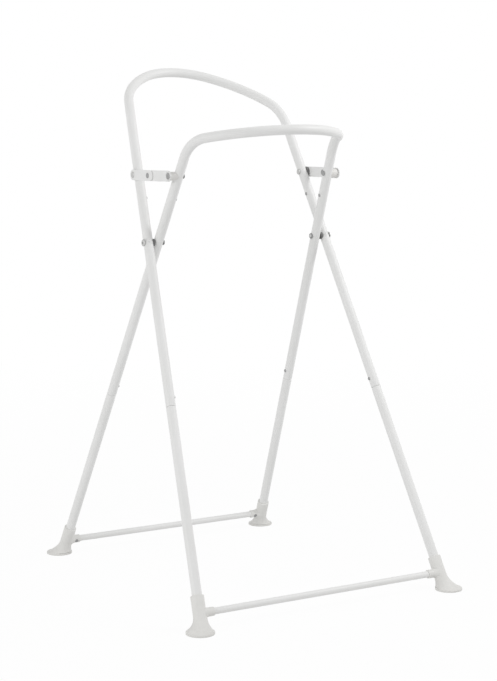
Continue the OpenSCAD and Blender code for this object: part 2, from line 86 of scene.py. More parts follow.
# Distance up a frame's leaning plane from the pivots, at a height above the floor
def level(height):
    return (height - stand["pivotHeight"]) / leanCos


# Sideways place of the right leg's axis, a distance up the frame's plane from the pivots
def legX(side, up):
    return side["halfWidth"] - up * math.tan(math.radians(side["splay"]))


def legPoint(side, up):
    return np.array([legX(side, up), side["way"] * up * leanSin,
                     stand["pivotHeight"] + up * leanCos])


# Columns: outwards across the right leg, square to both, and up along the leg. A share under 1
# turns them back towards the upright, for the foot's lower slices.
def legAxes(side, share=1.0):
    splay = math.radians(side["splay"]) * share
    lean = math.radians(stand["lean"]) * share
    forth, rise = side["way"] * math.sin(lean), math.cos(lean)
    out = [math.cos(splay), math.sin(splay) * forth, math.sin(splay) * rise]
    across = [0.0, rise, -forth]
    up = [-math.sin(splay), math.cos(splay) * forth, math.cos(splay) * rise]
    return np.array([out, across, up]).T


# Half a tube's width along X, with how far its side creeps outwards below a head of this radius
def flank(side, radius):
    splay = math.radians(side["splay"])
    return tubeRadius / math.cos(splay) + radius * math.tan(splay)


def placed(points, origin, axes):
    return np.asarray(points) @ np.asarray(axes).T + np.asarray(origin)


# Each corner becomes a quadratic curve that leaves and meets its two edges a radius away, or
# just short of their middles where they are too short for that
def softCorners(corners, radius, closed=False, steps=4):
    mostOfEdge, noLength = 0.48, 1e-9
    corners = np.array(corners, float)
    radii = np.ones(len(corners)) * radius
    if not closed:
        radii[[0, -1]] = 0

    def towards(other):
        edge = other - corners
        length = np.maximum(np.linalg.norm(edge, axis=1), noLength)
        return (corners + edge * np.minimum(radii / length, mostOfEdge)[:, None])[:, None]

    t = np.linspace(0, 1, steps + 1)[None, :, None]
    start, end = towards(np.roll(corners, 1, 0)), towards(np.roll(corners, -1, 0))
    curve = (1 - t) ** 2 * start + 2 * t * (1 - t) * corners[:, None] + t ** 2 * end
    return curve.reshape(-1, 2)


# A profile of radius and height turned about z: one row of points for each point of the profile
def revolved(profile, count=around["plain"]):
    angles = 2 * math.pi * np.arange(count) / count
    radius, height = np.array(profile, float).T[:, :, None]
    return np.stack([radius * np.cos(angles), radius * np.sin(angles), height + 0 * angles], axis=-1)


# Plain cylinder, as a cutter: two poles and two rims, from z0 to z1 along its own z
def rod(radius, z0, z1, origin, axes, count=around["plain"]):
    return placed(revolved([(0, z0), (radius, z0), (radius, z1), (0, z1)], count), origin, axes)


# Low dome from its rim to its pole, as radius and height
def dome(radius, height, rim, steps=8):
    angles = np.linspace(0, math.pi / 2, steps)[1:]
    return [(radius, rim)] + [(radius * math.cos(a), rim + (height - rim) * math.sin(a))
                              for a in angles]


# Tube piece round a line along X, from x0 to x1, with a soft radius for each corner of its wall
def sleeve(bore, radius, x0, x1, edges, place):
    wall = softCorners([(bore, x0), (radius, x0), (radius, x1), (bore, x1)], edges, closed=True)
    return placed(revolved(wall), place, alongX), True


# What cuts the seat of a right leg's tube into a piece that leans on it
def saddleCut(side, up):
    reach = 30
    return rod(tubeRadius + fixedGap, -reach, reach, legPoint(side, up), legAxes(side),
               around["tube"])


# A surface is a grid of points, or a pair of a grid and True where its last row meets its first.
# Several stand in a list, and all of them turn over about x = 0 where the sign is -1.
def mirrored(surface, sign):
    if isinstance(surface, (list, tuple)):
        return type(surface)(mirrored(part, sign) for part in surface)
    return surface if isinstance(surface, bool) else surface * [sign, 1.0, 1.0]


# Quads between the rows of a grid whose columns run round. A ring of rows closes on itself too.
def gridFaces(rows, columns, ring):
    first = np.arange(rows if ring else rows - 1)
    low, high = first[:, None] * columns, ((first + 1) % rows)[:, None] * columns
    here = np.arange(columns)
    ahead = (here + 1) % columns
    return np.stack([low + here, low + ahead, high + ahead, high + here], axis=-1).reshape(-1, 4)


def newObject(name, surfaces):
    points, faces, count = [], [], 0
    for surface in surfaces:
        grid, ring = surface if isinstance(surface, tuple) else (surface, False)
        points.append(grid.reshape(-1, 3) * mm)
        faces.append(gridFaces(grid.shape[0], grid.shape[1], ring) + count)
        count += points[-1].shape[0]
    mesh = bpy.data.meshes.new(name)
    mesh.from_pydata(np.concatenate(points).tolist(), [], np.concatenate(faces).tolist())
    shell = bmesh.new()
    shell.from_mesh(mesh)
    bmesh.ops.remove_doubles(shell, verts=shell.verts, dist=weld["new"])
    bmesh.ops.dissolve_degenerate(shell, edges=shell.edges, dist=weld["sliver"])
    bmesh.ops.recalc_face_normals(shell, faces=shell.faces)
    shell.to_mesh(mesh)
    shell.free()
    piece = bpy.data.objects.new(name, mesh)
    bpy.context.scene.collection.objects.link(piece)
    return piece


# After a cut, corners within a hair of each other merge, many-sided faces become triangles,
# faces with no area go, and an opening where one was lost is filled
def cleanMesh(mesh):
    shell = bmesh.new()
    shell.from_mesh(mesh)
    bmesh.ops.remove_doubles(shell, verts=shell.verts, dist=weld["cut"])
    bmesh.ops.dissolve_degenerate(shell, edges=shell.edges, dist=weld["cut"])
    bmesh.ops.triangulate(shell, faces=[face for face in shell.faces if len(face.verts) > 4])
    bmesh.ops.dissolve_degenerate(shell, edges=shell.edges, dist=weld["cut"])
    openEdges = [edge for edge in shell.edges if edge.is_boundary]
    bmesh.ops.holes_fill(shell, edges=openEdges, sides=0)
    bmesh.ops.recalc_face_normals(shell, faces=shell.faces)
    shell.to_mesh(mesh)
    shell.free()


# Joins or cuts a piece with other closed surfaces, one after another, and keeps the result. Those
# in an inner list go in one step.
def combine(piece, surfaces, operation):
    tools = []
    for surface in surfaces:
        tool = newObject("tool", surface if isinstance(surface, list) else [surface])
        modifier = piece.modifiers.new("shape", "BOOLEAN")
        modifier.operation, modifier.solver, modifier.object = operation, "EXACT", tool
        tools.append(tool)
    shaped = piece.evaluated_get(bpy.context.evaluated_depsgraph_get())
    mesh = bpy.data.meshes.new_from_object(shaped)
    piece.modifiers.clear()
    cleanMesh(mesh)
    piece.data = mesh
    for tool in tools:
        bpy.data.objects.remove(tool)


# Makes the piece that stands for a node, from surfaces of the right side, with smooth faces and
# sharp edges above an angle. The node's own last word says its side where it has one.
def makePiece(node, surfaces, sharpAngle, joined=(), cuts=()):
    words = node.split("_")
    sign = sides.get(words[-1], 1.0)
    piece = newObject(words[0] + "".join(word.title() for word in words[1:]),
                      mirrored(surfaces, sign))
    if joined:
        combine(piece, mirrored(joined, sign), "UNION")
    if cuts:
        combine(piece, mirrored(cuts, sign), "DIFFERENCE")
    piece.data.shade_smooth()
    piece.data.set_sharp_from_angle(angle=math.radians(sharpAngle))
    piece.data.materials.clear()
    piece.data.materials.append(materials[slotOf[node]])
    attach(piece, bodyOf[node])
    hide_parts(node)
    return piece


# The patterns' own values. Scales are of noise on Object coordinates in metres, and a mask starts
# and is full at levels of its noise.
pattern = {
    "roughness": 0.55,       # of a noise that has none of its own
    "cloudScale": 14.0,
    "cloudDetail": 4.0,
    "cloudStart": 0.35,
    "cloudFull": 0.7,
    "grimeScale": 60.0,
    "grimeDetail": 6.0,
    "grimeRoughness": 0.65,
    "peelScale": 420.0,
    "peelDetail": 1.0,
    "grainScale": 2200.0,
    "grainDetail": 2.0,
    "rubScale": 380.0,
    "rubDetail": 5.0,
    "rubRoughness": 0.7,
    "rubNear": 0.6,          # how much nearness counts beside the noise
    "rubStart": 0.78,
    "rubFull": 0.86,
    "rubFade": 0.25,         # share of the reach over which a ring ends
    "dustScale": 240.0,
    "dustDetail": 5.0,
    "dustRoughness": 0.65,
    "dustStart": 0.3,
    "dustFull": 0.7,
    "lineScale": 900.0,
    "lineDetail": 3.0,
}
colorA, colorB, colorOut = 6, 7, 2    # sockets of a Mix node that mixes colours


# Group sockets by name: inputs with their defaults, and outputs
def newGroup(name, inputs, outputs):
    group = bpy.data.node_groups.new(name, "ShaderNodeTree")
    for label, kind, default in inputs:
        socket = group.interface.new_socket(name=label, in_out="INPUT",
                                            socket_type="NodeSocket" + kind)
        socket.default_value = default
    for label, kind in outputs:
        group.interface.new_socket(name=label, in_out="OUTPUT", socket_type="NodeSocket" + kind)
    return group, group.nodes.new("NodeGroupInput"), group.nodes.new("NodeGroupOutput")


def noiseNode(tree, scale, detail, roughness=pattern["roughness"]):
    node = tree.nodes.new("ShaderNodeTexNoise")
    node.inputs["Scale"].default_value = scale
    node.inputs["Detail"].default_value = detail
    node.inputs["Roughness"].default_value = roughness
    return node


def mathNode(tree, operation, *values):
    node = tree.nodes.new("ShaderNodeMath")
    node.operation = operation
    for socket, value in zip(node.inputs, values):
        if isinstance(value, (int, float)):
            socket.default_value = value
        else:
            tree.links.new(value, socket)
    return node.outputs[0]


def rampNode(tree, value, low, high, start=0.0, end=1.0):
    node = tree.nodes.new("ShaderNodeMapRange")
    node.clamp = True
    tree.links.new(value, node.inputs["Value"])
    for label, number in (("From Min", low), ("From Max", high), ("To Min", start), ("To Max", end)):
        node.inputs[label].default_value = number
    return node.outputs["Result"]


# Slow cloudy change between two colours, and of a roughness around its middle
def makeMottleGroup():
    group, source, sink = newGroup("mottle", [
        ("Color", "Color", (0.8, 0.8, 0.8, 1)), ("Shade", "Color", (0.7, 0.7, 0.7, 1)),
        ("Scale", "Float", pattern["cloudScale"]), ("Roughness", "Float", 0.4),
        ("Spread", "Float", 0.08),
    ], [("Color", "Color"), ("Roughness", "Float")])
    place = group.nodes.new("ShaderNodeTexCoord")
    cloud = noiseNode(group, pattern["cloudScale"], pattern["cloudDetail"])
    grime = noiseNode(group, pattern["grimeScale"], pattern["grimeDetail"], pattern["grimeRoughness"])
    for node in (cloud, grime):
        group.links.new(place.outputs["Object"], node.inputs["Vector"])
    group.links.new(source.outputs["Scale"], cloud.inputs["Scale"])
    share = rampNode(group, cloud.outputs["Fac"], pattern["cloudStart"], pattern["cloudFull"])
    mix = group.nodes.new("ShaderNodeMix")
    mix.data_type = "RGBA"
    group.links.new(share, mix.inputs["Factor"])
    group.links.new(source.outputs["Color"], mix.inputs[colorA])
    group.links.new(source.outputs["Shade"], mix.inputs[colorB])
    group.links.new(mix.outputs[colorOut], sink.inputs["Color"])
    swing = mathNode(group, "MULTIPLY", mathNode(group, "SUBTRACT", grime.outputs["Fac"], 0.5),
                     source.outputs["Spread"])
    rough = mathNode(group, "ADD", source.outputs["Roughness"], swing)
    group.links.new(rough, sink.inputs["Roughness"])
    return group


# Height of a sprayed skin: broad orange peel, and a fine grain on top
def makeSkinGroup():
    group, source, sink = newGroup("sprayedSkin", [
        ("Peel Scale", "Float", pattern["peelScale"]),
        ("Grain Scale", "Float", pattern["grainScale"]), ("Grain Share", "Float", 0.25),
    ], [("Height", "Float")])
    place = group.nodes.new("ShaderNodeTexCoord")
    peel = noiseNode(group, pattern["peelScale"], pattern["peelDetail"])
    grain = noiseNode(group, pattern["grainScale"], pattern["grainDetail"])
    for node, label in ((peel, "Peel Scale"), (grain, "Grain Scale")):
        group.links.new(place.outputs["Object"], node.inputs["Vector"])
        group.links.new(source.outputs[label], node.inputs["Scale"])
    small = mathNode(group, "MULTIPLY", grain.outputs["Fac"], source.outputs["Grain Share"])
    group.links.new(mathNode(group, "ADD", peel.outputs["Fac"], small), sink.inputs["Height"])
    return group


# Mask of a rubbed patch round a place and its mirror place beyond x = 0: the near share, which
# falls from 1 at the place to 0 at the reach, and a noise make it ragged
def makeRubGroup():
    group, source, sink = newGroup("rubbedRing", [
        ("Place", "Vector", (0.19, 0, 0.65)), ("Reach", "Float", 0.016),
    ], [("Mask", "Float")])
    place = group.nodes.new("ShaderNodeTexCoord")
    fold = group.nodes.new("ShaderNodeVectorMath")
    fold.operation = "ABSOLUTE"
    gap = group.nodes.new("ShaderNodeVectorMath")
    gap.operation = "DISTANCE"
    patch = noiseNode(group, pattern["rubScale"], pattern["rubDetail"], pattern["rubRoughness"])
    group.links.new(place.outputs["Object"], patch.inputs["Vector"])
    group.links.new(place.outputs["Object"], fold.inputs[0])
    group.links.new(fold.outputs["Vector"], gap.inputs[0])
    group.links.new(source.outputs["Place"], gap.inputs[1])
    way = mathNode(group, "DIVIDE", gap.outputs["Value"], source.outputs["Reach"])
    near = mathNode(group, "SUBTRACT", 1.0, way)
    broken = mathNode(group, "ADD", mathNode(group, "MULTIPLY", near, pattern["rubNear"]),
                      patch.outputs["Fac"])
    shown = mathNode(group, "MULTIPLY", rampNode(group, broken, pattern["rubStart"], pattern["rubFull"]),
                     rampNode(group, near, 0, pattern["rubFade"]))
    group.links.new(shown, sink.inputs["Mask"])
    return group


# Mask of floor dust: full at the floor and gone at a height, broken up by noise
def makeDustGroup():
    group, source, sink = newGroup("floorDust", [
        ("Height", "Float", 0.03), ("Amount", "Float", 0.5),
    ], [("Mask", "Float")])
    place = group.nodes.new("ShaderNodeTexCoord")
    split = group.nodes.new("ShaderNodeSeparateXYZ")
    patch = noiseNode(group, pattern["dustScale"], pattern["dustDetail"], pattern["dustRoughness"])
    group.links.new(place.outputs["Object"], split.inputs[0])
    group.links.new(place.outputs["Object"], patch.inputs["Vector"])
    rise = mathNode(group, "DIVIDE", split.outputs["Z"], source.outputs["Height"])
    low = mathNode(group, "SUBTRACT", 1.0, rise)
    spread = mathNode(group, "MULTIPLY", rampNode(group, low, 0, 1),
                      rampNode(group, patch.outputs["Fac"], pattern["dustStart"], pattern["dustFull"]))
    group.links.new(mathNode(group, "MULTIPLY", spread, source.outputs["Amount"]), sink.inputs["Mask"])
    return group


# Height of fine turned or drawn lines, stretched along X
def makeLineGroup():
    group, source, sink = newGroup("drawnLines", [
        ("Scale", "Float", pattern["lineScale"]), ("Stretch", "Vector", (0.05, 1, 1)),
    ], [("Height", "Float")])
    place = group.nodes.new("ShaderNodeTexCoord")
    squeeze = group.nodes.new("ShaderNodeVectorMath")
    squeeze.operation = "MULTIPLY"
    lines = noiseNode(group, pattern["lineScale"], pattern["lineDetail"])
    group.links.new(place.outputs["Object"], squeeze.inputs[0])
    group.links.new(source.outputs["Stretch"], squeeze.inputs[1])
    group.links.new(squeeze.outputs["Vector"], lines.inputs["Vector"])
    group.links.new(source.outputs["Scale"], lines.inputs["Scale"])
    group.links.new(lines.outputs["Fac"], sink.inputs["Height"])
    return group


groups = {"mottle": makeMottleGroup(), "skin": makeSkinGroup(), "rub": makeRubGroup(),
          "dust": makeDustGroup(), "lines": makeLineGroup()}

finishes = {
    "frame_paint": {"color": (0.85, 0.85, 0.845), "shade": (0.82, 0.82, 0.81), "scale": 9.0,
                    "roughness": 0.42, "spread": 0.16, "metallic": 0.0, "specular": 0.35,
                    "bump": 0.10, "height": "skin", "rub": 0.35, "dust": 0.2},
    "foot_plastic": {"color": (0.80, 0.795, 0.775), "shade": (0.76, 0.755, 0.735), "scale": 40.0,
                     "roughness": 0.52, "spread": 0.12, "metallic": 0.0, "specular": 0.35,
                     "bump": 0.16, "height": "skin", "rub": 0, "dust": 0.2},
    "bush_plastic": {"color": (0.80, 0.79, 0.77), "shade": (0.74, 0.73, 0.71), "scale": 60.0,
                     "roughness": 0.45, "spread": 0.12, "metallic": 0.0, "specular": 0.4,
                     "bump": 0.10, "height": "skin", "rub": 0, "dust": 0},
    # Dark, partly painted shade: the spacers and washers are dark plastic, and their darkness also
    # stands for the shadow in the narrow gaps between the crossing tubes and under the stay links
    "spacer_plastic": {"color": (0.16, 0.16, 0.162), "shade": (0.19, 0.188, 0.184), "scale": 90.0,
                       "roughness": 0.55, "spread": 0.2, "metallic": 0.0, "specular": 0.4,
                       "bump": 0.18, "height": "skin", "rub": 0, "dust": 0},
    "fastener_steel": {"color": (0.38, 0.38, 0.38), "shade": (0.30, 0.30, 0.302), "scale": 220.0,
                       "roughness": 0.38, "spread": 0.3, "metallic": 0.85, "specular": 0.5,
                       "bump": 0.12, "height": "lines", "rub": 0, "dust": 0},
    "bolt_zinc": {"color": (0.58, 0.58, 0.57), "shade": (0.50, 0.50, 0.495), "scale": 180.0,
                  "roughness": 0.36, "spread": 0.3, "metallic": 0.85, "specular": 0.5,
                  "bump": 0.10, "height": "lines", "rub": 0, "dust": 0},
    "spring_steel": {"color": (0.45, 0.45, 0.46), "shade": (0.34, 0.34, 0.33), "scale": 150.0,
                     "roughness": 0.28, "spread": 0.2, "metallic": 0.95, "specular": 0.5,
                     "bump": 0.08, "height": "lines", "rub": 0, "dust": 0},
}
# Lengths in metres
wear = {
    "bareSteel": (0.34, 0.34, 0.34, 1),
    "pivotRub": (0.1957, 0.0, 0.652),      # middles of the rubbed places, on the right side
    "stayRub": (0.1847, 0.0597, 0.776),
    "rubReach": 0.017,
    "dust": (0.50, 0.48, 0.44, 1),
    "dustHeight": 0.035,
    "dustRoughness": 0.4,                  # on top of the finish's own
    "bumpDepth": 0.0004,
}


# One finish: mottled colour and roughness, bare steel where it is rubbed, dust near the floor and
# a bump from the sprayed skin or the drawn lines
def makeMaterial(name, finish):
    material = bpy.data.materials.new(name)
    material.use_nodes = True
    tree = material.node_tree
    shader = tree.nodes["Principled BSDF"]
    shader.inputs["Metallic"].default_value = finish["metallic"]
    shader.inputs["Specular IOR Level"].default_value = finish["specular"]

    def groupNode(key, **values):
        node = tree.nodes.new("ShaderNodeGroup")
        node.node_tree = groups[key]
        for label, value in values.items():
            node.inputs[label].default_value = value
        return node

    def covered(color, mask, cover):
        mix = tree.nodes.new("ShaderNodeMix")
        mix.data_type = "RGBA"
        tree.links.new(mask, mix.inputs["Factor"])
        tree.links.new(color, mix.inputs[colorA])
        mix.inputs[colorB].default_value = cover
        return mix.outputs[colorOut]

    mottle = groupNode("mottle", Color=(*finish["color"], 1), Shade=(*finish["shade"], 1),
                       Scale=finish["scale"], Roughness=finish["roughness"], Spread=finish["spread"])
    color, roughness = mottle.outputs["Color"], mottle.outputs["Roughness"]
    if finish["rub"]:
        for place in (wear["pivotRub"], wear["stayRub"]):
            ring = groupNode("rub", Place=place, Reach=wear["rubReach"])
            mask = mathNode(tree, "MULTIPLY", ring.outputs["Mask"], finish["rub"])
            color = covered(color, mask, wear["bareSteel"])
    if finish["dust"]:
        dust = groupNode("dust", Height=wear["dustHeight"], Amount=finish["dust"])
        color = covered(color, dust.outputs["Mask"], wear["dust"])
        added = mathNode(tree, "MULTIPLY", dust.outputs["Mask"], wear["dustRoughness"])
        roughness = mathNode(tree, "ADD", roughness, added)
    tree.links.new(color, shader.inputs["Base Color"])
    tree.links.new(roughness, shader.inputs["Roughness"])
    bump = tree.nodes.new("ShaderNodeBump")
    bump.inputs["Strength"].default_value = finish["bump"]
    bump.inputs["Distance"].default_value = wear["bumpDepth"]
    tree.links.new(groupNode(finish["height"]).outputs["Height"], bump.inputs["Height"])
    tree.links.new(bump.outputs["Normal"], shader.inputs["Normal"])
    return material


materials = {slot: makeMaterial(slot, finish) for slot, finish in finishes.items()}
for node, shown in frame["nodes"].items():
    shown.data.materials.clear()
    shown.data.materials.append(materials[slotOf[node]])
print("materials made:", len(materials))

# The bows' holes take their sizes from the next four, so they stand here
button = {
    "up": 18.0,              # along the leg, from the seam
    "radius": 3.0,
    "out": 2.0,              # of the tip beyond the tube
    "seat": 4.3,             # from the leg's axis to the spring's face under the flange
    "flange": 0.8,           # its thickness, and how far it stands out from the shank
    "domeHeight": 1.2,
    "domeSteps": 8,
}
smallRivet = {
    "up": 90.5,              # up the frame's plane, from the pivots
    "headRadius": 3.2,
    "pin": 1.6,
    "height": 1.2,           # of the head above the tube's crest
    "tail": 1.5,             # of the pin into the bore
    "sink": 0.8,             # of the head's under side below the crest
    "rim": 1.3,              # height of the head's straight side
}
pivot = {
    "bolt": 3.0,             # radius of the shank
    "tipRadius": 2.2,        # of the shank's flat end
    "tipLength": 0.4,        # of the bevel behind it
    "threadOut": 0.3,        # of the tip beyond the nut
    "threadFrom": 0.5,       # from the tip to the thread's first row
    "threadStep": 0.125,     # between its rows
    "threadPast": 1.0,       # of its last rows from the nut's near face, towards the head
    "threadPitch": 1.0,
    "threadDepth": 0.3,
    "threadClear": 0.3,      # of plain shank at the end of those rows
    "threadFade": 1.5,       # length over which the depth runs out
    "headRadius": 6.5,
    "headHeight": 2.4,
    "headRim": 0.8,
    "headSteps": 10,
    "hexSocket": 4.0,        # across its flats
    "socketDepth": 1.4,
    "socketReach": 9.0,      # of its cutter
    "spacerRadius": 7.0,
    "spacerEdges": (0.2, 0.5, 0.2, 0.2),
    "saddle": 2.4,           # of a spacer's end past the crest of its tube, half a washer's
}
stay = {
    "up": 137.5,             # of the studs, up the frame's plane from the pivots
    "linkRadius": 10.0,      # of a link's round ends
    "linkThickness": 2.2,
    "tail": 8.0,             # of the rear link past the knuckle
    "rearPin": 4.0,          # radius of the rivet in the outer frame
    "pin": 3.0,              # and of the others
    "headRadius": 6.0,
    "headHeight": 1.6,
    "headRim": 0.5,
    "tailLess": 0.5,         # how much smaller than the heads the rear rivet's tail is
    "tailHeight": 1.2,
    "knuckleLess": 1.0,      # and both ends of the knuckle's rivet are
    "frontShare": 0.9,       # height of the front rivet's head over the others'
    "washerRadius": 10.0,
    "washerSkirt": 0.7,      # from the tube's crest to the rear link
    "washerEdges": (0.2, 0.2, 0.4, 0.2),
    "bushRadius": 8.0,
    "bushEdges": (0.2, 0.2, 0.8, 0.3),
    "openGap": 0.3,          # between the bush and the front link, where the loop is open
    "boltHeadRadius": 5.0,
    "boltHeadRim": 0.6,
    "boltHeadSteps": 10,
    "crank": 8.5,            # sideways step of the front link
    "crankAt": 32.0,         # its start, from the knuckle
    "crankRun": 10.0,        # and its length
    "crankSoft": 1.5,        # half length of each of its two bends
}

studY = stay["up"] * leanSin
studZ = stand["pivotHeight"] + stay["up"] * leanCos
pivotPlace = np.array([0, 0, stand["pivotHeight"]])
knucklePlace = np.array([0, 0, studZ])


def studPlace(side):
    return np.array([0, side["way"] * studY, studZ])


def buttonLevel(side):
    return level(side["seamHeight"]) + button["up"] * math.cos(math.radians(side["splay"]))


# Cutter for a hole square through the inner wall of the right leg's tube
def wallHole(side, up, radius):
    return rod(radius, -2 * tubeRadius, 0, legPoint(side, up), legAxes(side) @ alongX)


# Each bow rises over the level by an angle. Its turns are from straight ahead: the one at the end
# of the bend, and the one where the crown's arc starts.
bows = {
    "head_bow": {"side": outerFrame, "bendHeight": 866.0, "bendRadius": 100.0, "rise": 27.5,
                 "turn": 21.8, "shoulderRadius": 240.0, "crownAt": 55.2},
    "foot_bow": {"side": innerFrame, "bendHeight": 809.0, "bendRadius": 64.0, "rise": 9.0,
                 "turn": 23.6, "shoulderRadius": 163.0, "crownAt": 65.5},
}
bowMesh = {
    "legStep": 22.0,         # longest steps along the straight leg and along the arcs
    "bendStep": 3.0,
    "seamGap": 0.4,          # between the bow and the lower leg
    "lip": 0.5,              # soft radius of the bow's ends
    "lipSteps": 3,
    "holeSpan": (140.0, 230.0),    # along X, through both walls of the right leg's tube
}


# Right half of a bow's middle line, from its seam over to x = 0: straight up the leg, a bend out
# of the leg's plane, a shoulder arc and the crown's arc. Points and the directions at them.
def bowPath(bow):
    side = bow["side"]
    rise = math.radians(bow["rise"])

    def heading(turn):
        turn = math.radians(turn)
        return np.array([-math.sin(turn), side["way"] * math.cos(turn) * math.cos(rise),
                         math.cos(turn) * math.sin(rise)])

    points, directions = [], []

    def arc(start, direction, inward, radius, angle):
        steps = math.ceil(radius * angle / bowMesh["bendStep"])
        a = np.linspace(0, angle, steps + 1)[:, None]
        points.append(start + radius * (np.sin(a) * direction + (1 - np.cos(a)) * inward))
        directions.append(np.cos(a) * direction + np.sin(a) * inward)
        return points[-1][-1]

    seam = legPoint(side, level(side["seamHeight"]) + bowMesh["seamGap"])
    bendStart = legPoint(side, level(bow["bendHeight"]))
    up = legAxes(side)[:, 2]
    steps = math.ceil(np.linalg.norm(bendStart - seam) / bowMesh["legStep"])
    points.append(seam + (bendStart - seam) * np.linspace(0, 1, steps + 1)[:, None])
    directions.append(up + 0 * points[0])
    ahead = heading(bow["turn"])
    inward = ahead - (ahead @ up) * up
    here = arc(bendStart, up, inward / np.linalg.norm(inward), bow["bendRadius"],
               math.acos(up @ ahead))
    here = arc(here, ahead, heading(bow["turn"] + 90), bow["shoulderRadius"],
               math.radians(bow["crownAt"] - bow["turn"]))
    crownRadius = here[0] / math.cos(math.radians(bow["crownAt"]))
    arc(here, heading(bow["crownAt"]), heading(bow["crownAt"] + 90), crownRadius,
        math.radians(90 - bow["crownAt"]))
    return [np.concatenate(parts[:1] + [part[1:] for part in parts[1:]])
            for parts in (points, directions)]


# The bow's wall as one closed ring of rows: out along the outer skin, round the lip at the seam
# and back along the bore. Each row is a circle square to the middle line. It starts on the side of
# one fixed direction, square to the halfway of the leg's lean and the bow's rise.
def bowSurface(bow):
    points, directions = bowPath(bow)
    flip = np.array([-1.0, 1, 1])
    points = np.concatenate([points, points[-2::-1] * flip])
    directions = np.concatenate([directions, directions[-2::-1] * -flip])
    middle = math.radians((90 - stand["lean"] + bow["rise"]) / 2 + 90)
    sight = np.array([0, bow["side"]["way"] * math.cos(middle), math.sin(middle)])
    first = sight - (directions @ sight)[:, None] * directions
    first /= np.linalg.norm(first, axis=1, keepdims=True)
    second = np.cross(directions, first)

    # The lip's rows, from the skin to the end face: how far in along the tube, and the radius
    angle = np.linspace(0, math.pi / 2, bowMesh["lipSteps"] + 1)
    inset = bowMesh["lip"] * (1 - np.sin(angle))
    rim = tubeRadius - bowMesh["lip"] * (1 - np.cos(angle))
    last = len(points) - 1
    between = np.arange(1, last)
    rows = np.concatenate([np.zeros(len(angle) - 1, int), between, np.full(len(angle) + 1, last),
                           between[::-1], [0, 0]])
    skin = np.concatenate([inset[-2::-1], np.zeros(last - 1), -inset])
    along = np.append(skin, np.zeros(len(rows) - len(skin)))
    radius = np.concatenate([rim[-2::-1], np.full(last - 1, tubeRadius), rim,
                             np.full(last + 1, tubeBore), rim[-1:]])
    centre = points[rows] + directions[rows] * along[:, None]
    a = (2 * math.pi * np.arange(around["tube"]) / around["tube"])[None, :, None]
    circle = np.cos(a) * first[rows][:, None] + np.sin(a) * second[rows][:, None]
    return centre[:, None] + radius[:, None, None] * circle


def makeBow(node, bow):
    side = bow["side"]
    if side is outerFrame:
        boltHole, studHole = pivot["bolt"] + fixedGap, stay["rearPin"] + fixedGap
    else:
        boltHole, studHole = pivot["bolt"] + runGap, stay["pin"] + fixedGap
    holes = [wallHole(side, smallRivet["up"], smallRivet["pin"] + fixedGap),
             wallHole(side, buttonLevel(side), button["radius"] + runGap),
             rod(boltHole, *bowMesh["holeSpan"], pivotPlace, alongX),
             rod(studHole, *bowMesh["holeSpan"], studPlace(side), alongX)]
    makePiece(node, [(bowSurface(bow), True)], sharp["round"],
              cuts=[holes + mirrored(holes, sides["left"])])


for node, bow in bows.items():
    makeBow(node, bow)
print("bows made")

lowerLeg = {
    "end": 15.0,             # height above the floor, inside the foot
    "neckGap": 0.15,         # radial clearance in the bow's bore
    "neckWall": 1.2,
    "neckLength": 45.0,
    "shoulder": 1.0,         # length of the swaged step outside
    "taper": 3.0,            # and of the one inside, which starts as far below the seam
    "edges": (0.3, 0.4, 0.7, 0.5, 0.4, 0.3, 1.5, 1.5),
}


# Closed profile of a lower leg: bore, foot end, outer skin, swaged shoulder and thin neck
def makeLowerLeg(side, hand):
    neck = tubeBore - lowerLeg["neckGap"]
    neckBore = neck - lowerLeg["neckWall"]
    end = (level(lowerLeg["end"]) - level(side["seamHeight"])) / math.cos(math.radians(side["splay"]))
    corners = [(tubeBore, end), (tubeRadius, end), (tubeRadius, -lowerLeg["shoulder"]), (neck, 0),
               (neck, lowerLeg["neckLength"]), (neckBore, lowerLeg["neckLength"]),
               (neckBore, -lowerLeg["taper"]), (tubeBore, -2 * lowerLeg["taper"])]
    profile = softCorners(corners, lowerLeg["edges"], closed=True)
    tube = placed(revolved(profile, around["tube"]), legPoint(side, level(side["seamHeight"])),
                  legAxes(side))
    makePiece(f"{side['word']}_leg_{hand}", [(tube, True)], sharp["round"],
              cuts=[wallHole(side, buttonLevel(side), button["radius"] + runGap)])


foot = {
    "baseRadius": 25.5,
    "rim": 4.0,             # height of the base's rim
    "rimInset": 1.6,        # from the rim's side to where the trumpet starts
    "flare": 2.8,           # power of the trumpet's curve
    "trumpet": 29.0,        # height of its top above the floor
    "sleeveRadius": 12.0,
    "sleeveTop": 58.0,
    "baseSide": 5.5,        # of the base's middle from the leg's axis, outwards
    "baseShift": 3.5,       # and along Y, away from the stand's middle
    "footEdge": 0.7,        # soft radii: of the base's lower edge,
    "rimEdge": 1.1,         # of its upper edge
    "lipEdge": 1.1,         # and of the sleeve's mouth
    "slices": 26,
    "boreReach": 120.0,     # of the leg's cutter, from its end
    "socketRadius": 8.0,
    "socketReach": 28.0,
    "rootAt": 8.0,          # of the socket's flared root, from the leg's axis
    "rootRun": 11.0,
    "rootFlare": 3.2,
    "rootSteps": 11,
    "mouthEdge": 0.9,
}
crossbar = {
    "height": 30.0,         # of its axis above the floor
    "radius": 6.0,
    "wall": 1.0,
    "inset": 14.0,          # of its end, from the leg's axis
    "edge": 0.3,
    "room": 1.0,            # beyond its end in the foot's socket
    "reach": 60.0,          # of the socket's cutter
}
